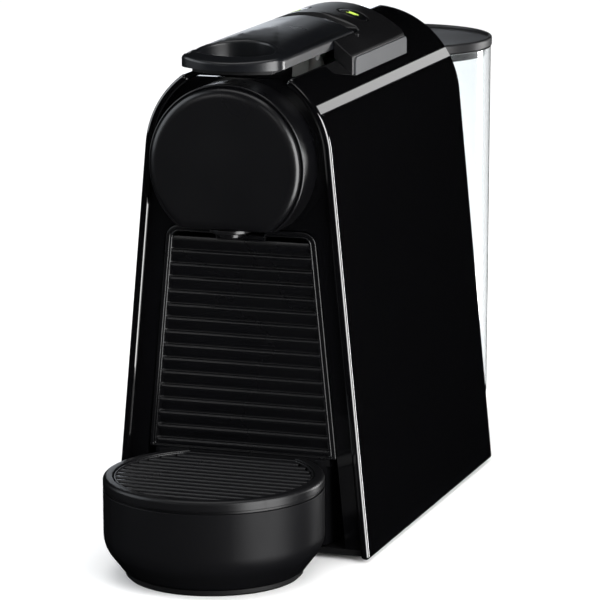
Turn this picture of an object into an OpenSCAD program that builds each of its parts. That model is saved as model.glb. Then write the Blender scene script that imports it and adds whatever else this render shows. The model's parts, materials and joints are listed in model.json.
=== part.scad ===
// Compact pod coffee machine: arched shell, round brew head, lift-up lever, round drip base.
// Millimetres. X is the width, front is -Y, +Z is up, and the table is z = 0.
// The origin is the middle of the whole machine's footprint.

/* [Shell] */
// Half of the shell's width at the table
shell_half_w = 55; // [54.5:0.1:55.5]
// Radius of the arch at the top
arch_r = 39.5; // [39.3:0.1:39.7]
// Height of the arch's centre
arch_z = 162.6; // [162.4:0.1:162.8]
// Y of the shell's front rim
shell_front = -92; // [-92.2:0.1:-91.9]
// Y of the shell's back edge
shell_back = 85; // [84.8:0.1:85.1]
// Shell wall thickness
wall = 3.5; // [3.3:0.1:3.6]

/* [Brew head] */
// Height of the brew axis
brew_z = 161; // [160.9:0.1:161.1]
// Radius of the round brew head
drum_r = 32.7; // [32.4:0.1:32.8]
// Y of the brew head's front face
drum_front = -108.5; // [-108.7:0.1:-108.3]
// Height of the flat underside of the brew head
drum_flat_z = 135.5; // [135.4:0.1:135.8]

/* [Lever] */
// Half of the lever's width
lever_half_w = 21.4; // [21.2:0.1:21.5]
// Height of the lever's hinge axis
hinge_z = 201.4; // [201.3:0.1:201.5]
// Y of the lever's hinge axis
hinge_y = -10.9; // [-11:0.1:-10.8]
// Radius of the lever's hinge pin
hinge_pin_r = 1; // [0.9:0.05:1.1]

/* [Drive gears] */
// Tooth module
gear_m = 1.25; // [1.25:0.05:1.25]
// Teeth of the full wheel that the lever's sector is cut from
sector_teeth = 34; // [34:1:34]
// Teeth of the idler pinion
idler_teeth = 12; // [12:1:12]

/* [Drip base] */
// Radius of the round base
base_r = 44; // [43.6:0.1:44.2]
// Y of the round base's centre
base_y = -121.7; // [-121.8:0.1:-121.6]
// Height of the base's top ring
base_top = 40.4; // [40.2:0.1:40.6]
// Slats in the drip grid
grid_slats = 15; // [11:2:17]
// Ribs on the capsule container's front
rib_count = 16; // [12:1:16]
// Distance from rib to rib
rib_pitch = 5.6; // [5.4:0.1:5.6]

/* [Water tank] */
// Radius of the tank's rim
tank_r = 39.7; // [39.2:0.1:39.8]
// Y of the tank's centre
tank_y = 125.5; // [125.4:0.1:125.6]
// Height of the tank lid's top
lid_top = 183.2; // [183:0.1:183.6]

/* [Hidden] */
$fn = 96;
eps = 0.01;

// Slope of the shell's sides, as width lost per height
side_slope = (shell_half_w - arch_r / cos(5.37)) / arch_z;
function half_w(z) = shell_half_w - side_slope * z;

shell_z0 = 1.4;            // bottom edge of the shell
fascia_y = shell_front + 3; // front face of the fascia
fascia_t = 2.5;
panel_front = -35.5;       // front face of the raised top panel
panel_half_w = 29.5;
panel_rear = 37;
panel_wall = 2.2;
crown_r = 40.8;            // crown across X that the top panel and the lever share
crown_top = 209.1;
nose_r = 290;              // long curve that takes the lever's top down to its front edge
nose_y = -45;              // Y where that curve starts
slot_half_w = lever_half_w + 0.35; // lever slot in the panel and shell
deck_z = 184;
deck_t = 3;

lever_front = -107.5;
lever_rear = hinge_y + 2.9;
lever_bottom = 199.1;
slot_rear = hinge_y + 8.6; // back edge of the lever slot, clear of the swinging lever

cage_front = -83.2;        // rim of the capsule cage when closed
cage_r = 20;
cage_len = 30;
cage_back = cage_front + cage_len + 1.6;
idler_r = gear_m * idler_teeth / 2;
sector_r = gear_m * sector_teeth / 2;
idler_z = hinge_z - sector_r - idler_r;
rack_z = idler_z - idler_r; // pitch line of the rack
rack_pitch = PI * gear_m;
inlet_z = 157;             // height of the sliding water inlet
inlet_r = 1.5;
tooth_gap = 0.12;          // each flank stands this far back from its true line
pressure = 25;

ring_groove_z = 35.8;
tray_half_w = 38;
container_top = 133.2;
container_bottom = 41;
outlet_y = -99.5;
button_x = 12.7;
button_y = 16.3;
button_r = 6.15;
seat_top = 18;
seal_z = 11.2;              // underside of the tank seat's seal
tank_wall = 2;
valve_y = 108;             // Y of the tank's outlet valve

// ---------- shapes used more than once ----------

// The shell's arch outline, drawn with 2D y as height, pulled in by d
module arch_2d(d = 0, z0 = shell_z0) {
    a = atan(side_slope);
    r = arch_r - d;
    function edge(z) = r / cos(a) + (arch_z - z) * side_slope;
    zt = arch_z + r * sin(a);
    polygon([[-edge(z0), z0], [edge(z0), z0], [r * cos(a), zt], [-r * cos(a), zt]]);
    translate([0, arch_z]) circle(r = r, $fn = 160);
}

// Extrude a 2D (x, z) outline from y0 to y1
module along_y(y0, y1) {
    translate([0, y1, 0]) rotate([90, 0, 0]) linear_extrude(y1 - y0) children();
}

// Extrude a 2D (y, z) outline from x0 to x1
module along_x(x0, x1) {
    translate([x0, 0, 0]) rotate([90, 0, 90]) linear_extrude(x1 - x0) children();
}

// Box from its low corner to its high corner
module box(lo, hi) { translate(lo) cube(hi - lo); }

// Mirror-image pair across the middle plane
module both_sides() { children(); mirror([1, 0, 0]) children(); }

// Cylinder on the brew axis from y0 to y1
module brew_cyl(y0, y1, r) { translate([0, y1, brew_z]) rotate([90, 0, 0]) cylinder(h = y1 - y0, r = r); }

// Straight cylinder between two points
module rod(a, b, r) {
    d = b - a;
    l = norm(d);
    translate(a) rotate([0, acos(d[2] / l), atan2(d[1], d[0])]) cylinder(h = l, r = r, $fn = 24);
}

// Hose through a list of points, with a ball at each bend
module hose(points, r) {
    for (i = [0:len(points) - 2]) rod(points[i], points[i + 1], r);
    for (i = [1:len(points) - 2]) translate(points[i]) sphere(r = r * 1.1, $fn = 24);
}

function inv_deg(a) = tan(a) * 180 / PI - a;
// Half of a tooth's angle at radius r, for n teeth
function tooth_half(n, r) = let (rp = gear_m * n / 2, rb = rp * cos(pressure))
    90 / n + inv_deg(pressure) - inv_deg(acos(min(1, rb / r))) - tooth_gap / rp * 180 / PI;
// One tooth centred on angle c, from root to tip and back
function tooth(n, c) = let (rp = gear_m * n / 2, rb = rp * cos(pressure), rf = rp - 1.25 * gear_m,
        ra = rp + gear_m, r0 = max(rb, rf), rs = [rf, for (i = [0:4]) r0 + (ra - r0) * i / 4 + 0.001])
    concat([for (r = rs) let (h = tooth_half(n, max(r, r0))) [r * cos(c - h), r * sin(c - h)]],
           [for (i = [len(rs) - 1:-1:0]) let (r = rs[i], h = tooth_half(n, max(r, r0)))
               [r * cos(c + h), r * sin(c + h)]]);
// One rack tooth centred on y, pointing up, as (y, z) points
function rack_tooth(y) = let (t = tan(pressure), h = rack_pitch / 4 - tooth_gap, up = gear_m,
        dn = 1.25 * gear_m)
    [[y - h - dn * t, rack_z - dn - 0.5], [y - h - dn * t, rack_z - dn], [y - h + up * t, rack_z + up],
     [y + h - up * t, rack_z + up], [y + h + dn * t, rack_z - dn], [y + h + dn * t, rack_z - dn - 0.5]];

// ---------- casing ----------

module outer_shell() {
    color("#0b0b0c") difference() {
        along_y(shell_front, shell_back) difference() {
            arch_2d(0);
            arch_2d(wall, shell_z0 - 1);
        }
        // lever slot from the front rim back to the top panel
        box([-slot_half_w - 0.4, shell_front - 1, brew_z + 10], [slot_half_w + 0.4, panel_front, 210]);
        // opening under the top panel
        box([-26, panel_front - eps, brew_z + 10], [26, panel_rear - 6, 210]);
    }
}

module front_fascia() {
    color("#101012") difference() {
        along_y(fascia_y, fascia_y + fascia_t) arch_2d(wall, 4.5);
        // brew head opening
        brew_cyl(fascia_y - 1, fascia_y + 4, drum_r - 2.2);
        // capsule container opening, and the base below it
        along_y(fascia_y - 1, fascia_y + 4) container_outline(0.5, 0);
        // lever slot
        box([-slot_half_w - 0.4, fascia_y - 1, 194], [slot_half_w + 0.4, fascia_y + 4, 210]);
    }
}

// Front outline of the capsule container, grown by g, down to z0
module container_outline(g, z0) {
    r = 5.5;
    w1 = half_w(container_top) - 11 + g;
    w0 = half_w(z0) - 11 + g;
    top = container_top + g;
    polygon([[-w0, z0], [w0, z0], [w1 + 0.4, top - r], [-w1 - 0.4, top - r]]);
    polygon([[-w1 + r, top], [w1 - r, top], [w1 - r, top - r - 2], [-w1 + r, top - r - 2]]);
    for (s = [-1, 1]) translate([s * (w1 - r), top - r]) circle(r = r);
}

module rear_panel() {
    color("#101012") difference() {
        along_y(shell_back - 4, shell_back) arch_2d(wall, 4.5);
        // shallow hollow that follows the tank
        translate([0, tank_y, 16]) cylinder(h = 172, r = tank_r + 2.2);
        // hose and cord passages
        rod([0, 70, 9], [0, 90, 9], 4);
        rod([-34, 70, 16], [-34, 90, 16], 5);
        for (p = rear_screw_spots) rod([p[0], 70, p[1]], [p[0], 90, p[1]], 1.6);
    }
}
rear_screw_spots = [[-40, 30], [40, 30], [-26, 178], [26, 178]];
base_screw_spots = [[-44, -62], [44, -62], [-44, 66], [44, 66]];
foot_spots = [[-40, -73], [40, -73], [-42, 77], [42, 77], [0, 152]];

module base_plate() {
    color("#161618") difference() {
        union() {
            box([-50.5, -89, 2], [50.5, shell_back, 4.5]);
            translate([0, tank_y, 2]) cylinder(h = 2.5, r = 37);
            box([-30, shell_back - eps, 2], [30, tank_y, 4.5]);
        }
        // room for the round base at the front
        translate([0, base_y, 0]) cylinder(h = 8, r = base_r + 1);
        for (p = base_screw_spots) translate([p[0], p[1], 0]) cylinder(h = 6, r = 1.6);
    }
}

module rubber_feet() {
    color("#1c1c1c") for (p = foot_spots) translate([p[0], p[1], 0]) cylinder(h = 2, r = 6);
}

module base_screws() {
    color("#8a8c90") for (p = base_screw_spots) translate([p[0], p[1], 0]) {
        translate([0, 0, 1.1]) cylinder(h = 0.9, r = 3);
        translate([0, 0, 2 - eps]) cylinder(h = 10, r = 1.5);
    }
}

module rear_screws() {
    color("#8a8c90") for (p = rear_screw_spots) {
        rod([p[0], shell_back + 1.2, p[1]], [p[0], shell_back, p[1]], 3);
        rod([p[0], shell_back + eps, p[1]], [p[0], shell_back - 12, p[1]], 1.5);
    }
}

module cord_gland() {
    color("#151515") difference() {
        union() {
            rod([-34, shell_back + 5, 16], [-34, shell_back, 16], 6.5);
            rod([-34, shell_back + 1, 16], [-34, shell_back - 10, 16], 4.9);
        }
        rod([-34, shell_back + 6, 16], [-34, shell_back - 11, 16], 3.4);
    }
}

module tank_seat() {
    color("#161618") difference() {
        union() {
            translate([0, tank_y, 4.5]) cylinder(h = seat_top - 4.5, r = 37);
            box([-24, shell_back + 0.05, 4.5], [24, 104, seat_top - 2]);
        }
        // room for the water path under the tank
        box([-5, shell_back - 1, 4], [5, valve_y, 12.5]);
        translate([0, valve_y, 4]) cylinder(h = 20, r = 9);
        translate([0, tank_y + 10, 4]) cylinder(h = 11, r = 18);
    }
}

module seat_seal() {
    color("#5a2d20") difference() {
        union() {
            translate([0, valve_y, seal_z]) cylinder(h = 14 - seal_z, r = 9);
            translate([0, valve_y, 13.9]) cylinder(h = 0.8, r = 3);
        }
        translate([0, valve_y, 10]) cylinder(h = 6, r = 1.6);
    }
}

// ---------- brew unit ----------

module loading_deck() {
    color("#131315") difference() {
        box([-26, fascia_y + fascia_t + 0.1, deck_z], [26, 40, deck_z + deck_t]);
        // capsule slot
        box([-19, cage_front - 0.5, deck_z - 1], [19, cage_front + cage_len + 1.5, deck_z + 5]);
        // room for the lever's gear
        box([-5.5, hinge_y - 24, deck_z - 1], [5.5, hinge_y + 24, deck_z + 5]);
    }
}

module brew_frame() {
    color("#3a3c40") difference() {
        union() {
            both_sides() box([21, fascia_y + fascia_t + 0.1, 140], [24, 2, deck_z]);
            // cross wall that guides the rack
            box([-21 - eps, hinge_y - 7, 140], [21 + eps, hinge_y - 2.5, deck_z]);
            // bearing ears of the idler
            both_sides() box([5.3, hinge_y - 2.6, 158], [9, hinge_y + 7, deck_z]);
        }
        // notch for the rack and the idler
        box([-5.3, hinge_y - 8, 152.7], [5.3, hinge_y - 2, deck_z + 1]);
        along_x(-10, 10) translate([hinge_y, idler_z]) circle(r = 2);
    }
}

module brew_head_cover() {
    color("#141416") difference() {
        brew_cyl(drum_front + 3.6, fascia_y, drum_r);
        brew_cyl(drum_front + 2, fascia_y + 1, drum_r - 2.2);
        box([-50, -130, 100], [50, 0, drum_flat_z]);
    }
    // flat underside with a hole for the outlet
    color("#141416") difference() {
        intersection() {
            brew_cyl(drum_front + 4.5, fascia_y, drum_r - 1);
            box([-50, -130, drum_flat_z], [50, 0, drum_flat_z + 2.2]);
        }
        translate([0, outlet_y, 130]) cylinder(h = 12, r = 3.5);
    }
}

module brew_head_cap() {
    color("#141416") difference() {
        translate([0, drum_front, brew_z]) rotate([-90, 0, 0]) rotate_extrude($fn = 160)
            difference() {
                union() {
                    square([drum_r - 1.3, 2.9]);
                    square([drum_r - 2.5, 4.4]);
                }
                // rounded front edge
                translate([drum_r - 1.3 - 2.4, -eps]) difference() {
                    square([3, 2.4]);
                    translate([0, 2.4]) circle(r = 2.4, $fn = 48);
                }
            }
        box([-50, -130, 100], [50, 0, drum_flat_z]);
    }
}

module brew_head_block() {
    color("#2a2a2c") difference() {
        brew_cyl(drum_front + 4.5, cage_front - 3.3, 22);
        // channel from the plate down to the outlet
        rod([0, outlet_y, 134], [0, outlet_y, brew_z - 4], 2.5);
        brew_cyl(outlet_y, cage_front, 4);
        box([-30, drum_front, 120], [30, 0, drum_flat_z + 4]);
    }
}

module pyramid_plate() {
    color("#b9bcc0") {
        brew_cyl(cage_front - 3.3, cage_front - 1.2, 18);
        for (i = [-3:3], j = [-3:3]) if (i * i + j * j < 13)
            translate([i * 3.6 - 1, cage_front - 1.3, brew_z + j * 3.6 - 1]) cube([2, 0.8, 2]);
    }
}

module coffee_outlet() {
    color("#111112") difference() {
        union() {
            translate([0, outlet_y, drum_flat_z - 1.6]) cylinder(h = 1.6, r = 8.5);
            translate([0, outlet_y, 131.6]) cylinder(h = 3, r = 4.4);
            translate([0, outlet_y, drum_flat_z - eps]) cylinder(h = 4, r = 3.4);
        }
        translate([0, outlet_y, 131]) cylinder(h = 10, r = 2.4);
    }
}

module capsule_cage() {
    color("#c9ccd0") difference() {
        union() {
            brew_cyl(cage_front, cage_front + cage_len, cage_r);
            brew_cyl(cage_front + cage_len - eps, cage_back, 14);
        }
        brew_cyl(cage_front - 1, cage_front + cage_len - 3, 16.4);
        brew_cyl(cage_front - 1, cage_front + 2, 18.6);
        rod([0, cage_front, inlet_z], [0, cage_front + 38, inlet_z], inlet_r + 0.4);
    }
}

module cage_seal() {
    color("#7a3326") difference() {
        brew_cyl(cage_front - 0.4, cage_front + 2, 18.5);
        brew_cyl(cage_front - 2, cage_front + 4, 16.5);
    }
}

module needle_plate() {
    color("#d4d6da") {
        difference() {
            brew_cyl(cage_front + cage_len - 5, cage_front + cage_len - 3, 16.2);
            rod([0, cage_front, inlet_z], [0, cage_front + cage_len, inlet_z], inlet_r + 0.4);
        }
        for (a = [90, 210, 330]) translate([7 * cos(a), cage_front + cage_len - 5 + eps, brew_z + 7 * sin(a)])
            rotate([90, 0, 0]) cylinder(h = 5, r1 = 1.2, r2 = 0.2, $fn = 24);
    }
}

rack_len = 40;
rack_y0 = hinge_y - 36;
module drive_rack() {
    color("#d8d9da") difference() {
        union() {
            box([-5, cage_back, 153], [5, rack_y0 + rack_len, rack_z - 1.25 * gear_m]);
            along_x(-4, 4) for (k = [-8:0]) polygon(rack_tooth(hinge_y + (k - 0.5) * rack_pitch));
        }
        rod([0, cage_back - 1, inlet_z], [0, rack_y0 + rack_len + 1, inlet_z], inlet_r + 0.4);
    }
}

module idler_pinion() {
    color("#e4e4e2") translate([0, hinge_y, idler_z]) difference() {
        union() {
            along_x(-4, 4) {
                circle(r = idler_r - 1.2 * gear_m);
                for (k = [0:idler_teeth - 1]) polygon(tooth(idler_teeth, k * 360 / idler_teeth));
            }
            along_x(-4.8, 4.8) circle(r = 4);
        }
        along_x(-6, 6) circle(r = 2.05);
    }
}

module idler_shaft() {
    color("#b9bcc0") translate([0, hinge_y, idler_z]) along_x(-9, 9) circle(r = 2);
}

module inlet_tube() {
    color("#b9bcc0") rod([0, -24, inlet_z], [0, 44, inlet_z], inlet_r);
}

// ---------- lever ----------

// Plan outline of the lever, pulled in by d
module lever_plan(d = 0) {
    front_r = 30.4;
    intersection() {
        translate([-lever_half_w + d, lever_front]) square([2 * (lever_half_w - d), lever_rear - lever_front - d]);
        union() {
            translate([0, lever_front + front_r]) circle(r = front_r - d);
            translate([-30, lever_front + 12]) square([60, 120]);
        }
    }
}

// Finger hole: shallow front edge, round back edge, meeting in two side tips, grown by g
module finger_hole(g = 0) {
    intersection() {
        translate([0, -92.6]) circle(r = 15.6 + g);
        translate([0, -65.8]) circle(r = 33 + g);
    }
}

// Height of the lever's top on its middle line
function nose_z(y) = crown_top - nose_r + sqrt(pow(nose_r, 2) - pow(y - nose_y, 2));

// Everything under the lever's top surface, pulled in by d
module lever_top(d = 0) {
    intersection() {
        along_y(-130, 10) crown_2d(crown_r - d);
        along_x(-30, 30) {
            polygon([[-130, 150], for (y = [-120, -107.5, -95, -80, -62, nose_y]) [y, nose_z(y) - d],
                [60, crown_top - d], [60, 150]]);
        }
    }
}

module lever_plate() {
    color("#17181a") difference() {
        intersection() {
            translate([0, 0, lever_bottom]) linear_extrude(12) lever_plan();
            lever_top();
        }
        // hollow underside behind the finger hole
        intersection() {
            box([-18, -65, 190], [18, lever_rear - 7, 220]);
            along_y(-130, 10) crown_2d(crown_r - 4);
        }
        translate([0, 0, 190]) linear_extrude(30) finger_hole();
        translate([0, hinge_y, hinge_z]) along_x(-30, 30) circle(r = hinge_pin_r + 0.05);
        // pocket for the gear's hub
        translate([0, hinge_y, hinge_z]) along_x(-3.8, 3.8) circle(r = 4.3);
        box([-3.8, hinge_y - 10, 190], [3.8, hinge_y + 5, hinge_z + 0.6]);
    }
}

module lever_liner() {
    color("#1d1e20") translate([0, 0, lever_bottom - 2]) linear_extrude(2) difference() {
        intersection() {
            lever_plan(4.6);
            translate([-30, -120]) square([60, 86]);
        }
        finger_hole(0.6);
    }
}

module lever_gear() {
    color("#e4e4e2") translate([0, hinge_y, hinge_z]) difference() {
        along_x(-3.5, 3.5) {
            circle(r = 4);
            intersection() {
                union() {
                    circle(r = sector_r - 1.2 * gear_m);
                    for (k = [0:9]) polygon(tooth(sector_teeth, -90 + (k - 1.5) * 360 / sector_teeth));
                }
                polygon([[0, 0], [-8, -30], [30, -30], [30, 1.4]]);
            }
            translate([-8, -2.2]) square([8, 2.6]);
        }
        along_x(-6, 6) circle(r = hinge_pin_r + 0.05);
        // lightening hole in the web
        along_x(-6, 6) translate([8, -8]) circle(r = 4);
    }
}

module lever_pin() {
    color("#b9bcc0") translate([0, hinge_y, hinge_z]) along_x(-24, 24) circle(r = hinge_pin_r);
}

// ---------- top panel and buttons ----------

// The crown across X, drawn with 2D y as height
module crown_2d(r) { translate([0, crown_top - crown_r]) circle(r = r, $fn = 200); }

module top_panel() {
    color("#121214") difference() {
        intersection() {
            box([-panel_half_w, panel_front, 170], [panel_half_w, panel_rear, 215]);
            along_y(-60, 60) crown_2d(crown_r);
        }
        // hollow inside, leaving walls beside the lever slot
        difference() {
            intersection() {
                box([-panel_half_w + panel_wall, panel_front + panel_wall, 160],
                    [panel_half_w - panel_wall, panel_rear - panel_wall, 215]);
                along_y(-60, 60) crown_2d(crown_r - panel_wall);
            }
            both_sides() box([slot_half_w - eps, -60, 150], [slot_half_w + panel_wall, slot_rear + 3, 215]);
        }
        // lever slot
        box([-slot_half_w, -60, 150], [slot_half_w, slot_rear, 215]);
        // sits on the shell
        along_y(-60, 60) arch_2d(0);
        // pin holes and button holes
        translate([0, hinge_y, hinge_z]) along_x(-24, 24) circle(r = hinge_pin_r);
        both_sides() translate([button_x, button_y, 190]) cylinder(h = 30, r = button_r + 0.35);
    }
}

module cheek() {
    color("#2b2c2e") difference() {
        box([panel_half_w, panel_front + 3.1, 180], [panel_half_w + 0.7, panel_rear - 0.8, 195.7]);
        along_y(-60, 60) arch_2d(0);
    }
}
module cheek_right() { cheek(); }
module cheek_left() { mirror([1, 0, 0]) cheek(); }

module button() {
    color("#0d0e10") translate([button_x, button_y, 0]) difference() {
        union() {
            intersection() {
                translate([0, 0, 200.5]) cylinder(h = 12, r = button_r);
                translate([-button_x, 0, 0]) along_y(-30, 30) crown_2d(crown_r);
            }
            translate([0, 0, 191.9]) cylinder(h = 8.7, r = 1.8);
        }
        translate([0, 0, 204]) cylinder(h = 8, r = 4);
    }
}
module button_right() { button(); }
module button_left() { mirror([1, 0, 0]) button(); }

module lens() {
    color("#2c3a1c") translate([button_x, button_y, 0]) intersection() {
        translate([0, 0, 204]) cylinder(h = 8, r = 4);
        translate([-button_x, 0, 0]) along_y(-30, 30) crown_2d(crown_r);
    }
}
module lens_right() { lens(); }
module lens_left() { mirror([1, 0, 0]) lens(); }

module button_board() {
    color("#1f4d2b") box([-20, 9, 187], [20, 26, 188.6]);
}

module board_switches() {
    color("#333") both_sides() translate([button_x, button_y, 188.6]) {
        translate([-3, -3, 0]) cube([6, 6, 1.2]);
        cylinder(h = 1.8, r = 1.7);
    }
}

// ---------- water system ----------

module thermoblock() {
    color("#a9adb2") difference() {
        union() {
            heater_cyl(46, 74, 24);
            heater_cyl(43, 46.1, 9);
            rod([-12, 42, 140], [-12, 47, 140], 2.4);
            // pad for the thermal fuses
            box([-6, 48, 160], [6, 72, 174.5]);
            both_sides() rod([14, 73.9, 150], [14, shell_back - 4, 150], 3);
        }
        rod([0, 40, inlet_z], [0, 44, inlet_z], inlet_r);
    }
}
// Cylinder on the heater's own axis
module heater_cyl(y0, y1, r) { translate([0, y1, 150]) rotate([90, 0, 0]) cylinder(h = y1 - y0, r = r); }

module thermal_fuse() {
    color("#d9d2c0") for (y = [54, 66]) translate([0, y, 174.5]) cylinder(h = 5, r = 4);
}

pump_x = -20;
pump_y = 10;
module pump_body() {
    color("#2e3034") translate([pump_x, pump_y, 0]) difference() {
        union() {
            translate([-17, -17, 40]) cube([34, 34, 48]);
            translate([0, 0, 24]) cylinder(h = 90, r = 9);
            translate([0, 0, 18]) cylinder(h = 100, r = 4);
        }
        translate([0, 0, 30]) cylinder(h = 78, r = 6.4);
        translate([0, 0, 17]) cylinder(h = 102, r = 2);
    }
}

module pump_plunger() {
    color("#b9bcc0") translate([pump_x, pump_y, 0]) difference() {
        union() {
            translate([0, 0, 50]) cylinder(h = 30, r = 6);
            translate([0, 0, 80 - eps]) cylinder(h = 16, r = 2.6);
        }
        translate([0, 0, 49]) cylinder(h = 50, r = 1.2);
    }
}

module pump_mounts() {
    color("#222") translate([pump_x, pump_y, 0]) {
        for (z = [26, 96]) difference() {
            translate([0, 0, z]) cylinder(h = 8, r = 14);
            translate([0, 0, z - 1]) cylinder(h = 10, r = 9);
        }
        // legs down to the base plate
        for (s = [-1, 1]) translate([0, s * 11.5, 4.5]) cylinder(h = 22, r = 2.4);
    }
}

meter_x = 20;
meter_y = 58;
module flow_meter() {
    color("#e6e4dc") translate([meter_x, meter_y, 8]) difference() {
        union() {
            cylinder(h = 14, r = 14);
            translate([0, 0, 7]) rotate([0, -90, 0]) cylinder(h = 19, r = 3.4);
            translate([0, 0, 7]) rotate([90, 0, 0]) cylinder(h = 19, r = 3.4);
        }
        translate([0, 0, 2]) cylinder(h = 13, r = 11.5);
        translate([0, 0, 7]) rotate([0, -90, 0]) cylinder(h = 20, r = 1.6);
        translate([0, 0, 7]) rotate([90, 0, 0]) cylinder(h = 20, r = 1.6);
    }
}

module meter_cap() {
    color("#e6e4dc") translate([meter_x, meter_y, 22]) union() {
        cylinder(h = 2, r = 14);
        translate([0, 0, -11]) cylinder(h = 11.1, r = 1.5);
    }
}

module flow_rotor() {
    color("#f2f2f2") translate([meter_x, meter_y, 11]) difference() {
        union() {
            cylinder(h = 9, r = 3);
            for (a = [0:60:300]) rotate([0, 0, a]) translate([1.8, -0.6, 0.5]) cube([8.8, 1.2, 8]);
        }
        translate([0, 0, -1]) cylinder(h = 12, r = 1.56);
    }
}

module tank_hose() {
    color("#d8d8d4") hose([[0, valve_y, seal_z], [0, valve_y, 8], [0, 68, 8], [-6, meter_y, 15],
                           [meter_x - 19, meter_y, 15]], 2.8);
}

module pump_hose() {
    color("#d8d8d4") hose([[meter_x, meter_y - 19, 15], [meter_x, 20, 15], [pump_x, pump_y, 13],
                           [pump_x, pump_y, 18]], 2.8);
}

module heater_hose() {
    color("#d8d8d4") hose([[pump_x, pump_y, 118], [pump_x, pump_y, 127], [-14, 28, 140],
                             [-12, 42, 140]], 2.4);
}

module main_board() {
    color("#1f4d2b") {
        box([37, -14, 22], [38.6, 70, 108]);
        // tongues that stand in the base plate
        for (y = [0, 50]) box([37, y, 4.5], [38.6, y + 10, 22 + eps]);
    }
}

module board_parts() {
    color("#2a2a2c") {
        box([22, 0, 60], [37, 20, 84]);
        box([25, 30, 70], [37, 44, 84]);
        box([27, 50, 40], [37, 64, 62]);
        for (z = [34, 46]) translate([37, 10, z]) rotate([0, -90, 0]) cylinder(h = 16, r = 5);
    }
}

// ---------- drip base and capsule container ----------

// Round bowl shape of radius r from z0 to z1, with the drip base's rounded lower edge
module bowl(r, z0, z1) {
    round_r = r - base_r + 9;
    rotate_extrude($fn = 160) {
        translate([0, z0]) square([base_r - 9, z1 - z0]);
        translate([0, 13]) square([r, z1 - 13]);
        intersection() {
            translate([base_r - 9 - eps, 13]) circle(r = round_r);
            translate([0, max(z0, 13 - round_r)]) square([r, 20]);
        }
    }
}

module drip_tray() {
    color("#151517") difference() {
        union() {
            translate([0, base_y, 0]) bowl(base_r, 2.4, ring_groove_z - 0.6);
            box([-tray_half_w, fascia_y, 5.2], [tray_half_w, -24, 40.6]);
        }
        // water space under the grid, and behind it
        translate([0, base_y, 0]) bowl(base_r - 3, 6, 60);
        box([-tray_half_w + 2.5, base_y + 30, 8], [tray_half_w - 2.5, -26.5, 38]);
        // back part stands clear of the ring
        translate([0, base_y, ring_groove_z - 0.6]) cylinder(h = 10, r = base_r + 0.6);
    }
}

module base_ring() {
    color("#19191b") translate([0, base_y, 0]) difference() {
        rotate_extrude($fn = 160) difference() {
            union() {
                translate([base_r - 3.2, ring_groove_z - 0.6]) square([2.4, 1]);
                translate([base_r - 4, ring_groove_z + 0.4]) square([4, base_top - ring_groove_z - 0.4]);
            }
            // rounded outer edge
            translate([base_r - 1.6, base_top - 1.6]) difference() {
                square([3, 3]);
                circle(r = 1.6, $fn = 48);
            }
        }
    }
}

module base_foot() {
    color("#0f0f10") translate([0, base_y, 0]) cylinder(h = 2.4, r = 35.4);
}

module drip_grid() {
    r = base_r - 4.3;
    slat = 2 * r / (2 * grid_slats + 1);
    back = fascia_y - 0.6 - base_y;  // straight back edge, just in front of the capsule container
    color("#1b1b1d") translate([0, base_y, 0]) {
        intersection() {
            translate([0, 0, base_top - 3.4]) cylinder(h = 3, r = r);
            difference() {
                box([-r, -r, 0], [r, back, 60]);
                intersection() {
                    translate([0, 0, base_top - 4]) cylinder(h = 5, r = r - 2);
                    box([-r, -r, 0], [r, back - 2, 60]);
                }
            }
        }
        intersection() {
            translate([0, 0, base_top - 3.2]) cylinder(h = 2.8, r = r - 1);
            box([-r, -r, 0], [r, back - 1, 60]);
            for (i = [-grid_slats:2:grid_slats])
                translate([-r, i * slat - slat / 2, 0]) cube([2 * r, slat, 60]);
        }
        box([-1, 1 - r, base_top - 3.3], [1, back - 1, base_top - 1.3]);
    }
}

module capsule_container() {
    color("#121214") {
        difference() {
            union() {
                along_y(fascia_y, fascia_y + 3) container_outline(0, container_bottom);
                along_y(fascia_y + 2.9, -27) difference() {
                    intersection() {
                        translate([-36, container_bottom]) square([72, 86]);
                        container_outline(-1, container_bottom);
                    }
                    intersection() {
                        translate([-34, container_bottom + 2]) square([68, 100]);
                        container_outline(-3, container_bottom);
                    }
                }
                along_y(-29.2, -27) intersection() {
                    translate([-36, container_bottom]) square([72, 86]);
                    container_outline(-1, container_bottom);
                }
            }
            // dip under the coffee outlet
            box([-11, -100, container_top - 2.4], [11, -80, container_top + 5]);
            // sloping grooves between the ribs
            for (i = [0:rib_count - 1]) let (z = 42.3 + 84 - i * rib_pitch)
                along_x(-50, 50) polygon([[fascia_y - 1, z + 0.6], [fascia_y, z + 0.6],
                    [fascia_y + 1.8, z - 2.6], [fascia_y, z - 3.4], [fascia_y - 1, z - 3.4]]);
        }
        // side borders of the ribbed face
        intersection() {
            along_y(fascia_y, fascia_y + 2) difference() {
                container_outline(0, container_bottom);
                container_outline(-2, container_bottom - 5);
            }
            box([-60, -100, container_bottom], [60, -80, container_top - 2.4]);
        }
    }
}

// ---------- water tank ----------

module water_tank() {
    h = lid_top - 4.4 - seat_top;
    color([0.85, 0.92, 0.95, 0.35]) translate([0, tank_y, seat_top]) difference() {
        cylinder(h = h, r1 = tank_r - 1.1, r2 = tank_r, $fn = 160);
        translate([0, 0, 2.5]) cylinder(h = h, r1 = tank_r - 1.1 - tank_wall, r2 = tank_r - tank_wall, $fn = 160);
        translate([0, valve_y - tank_y, -1]) cylinder(h = 5, r = 5);
    }
}

module valve_body() {
    color("#e6e4dc") translate([0, valve_y, 0]) difference() {
        union() {
            translate([0, 0, seat_top - 2]) cylinder(h = 8, r = 4.9);
            translate([0, 0, seat_top + 2.5]) cylinder(h = 3, r = 8);
        }
        translate([0, 0, seat_top - 3]) cylinder(h = 4, r = 2.6);
        translate([0, 0, seat_top]) cylinder(h = 9, r = 3.8);
    }
}

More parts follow.
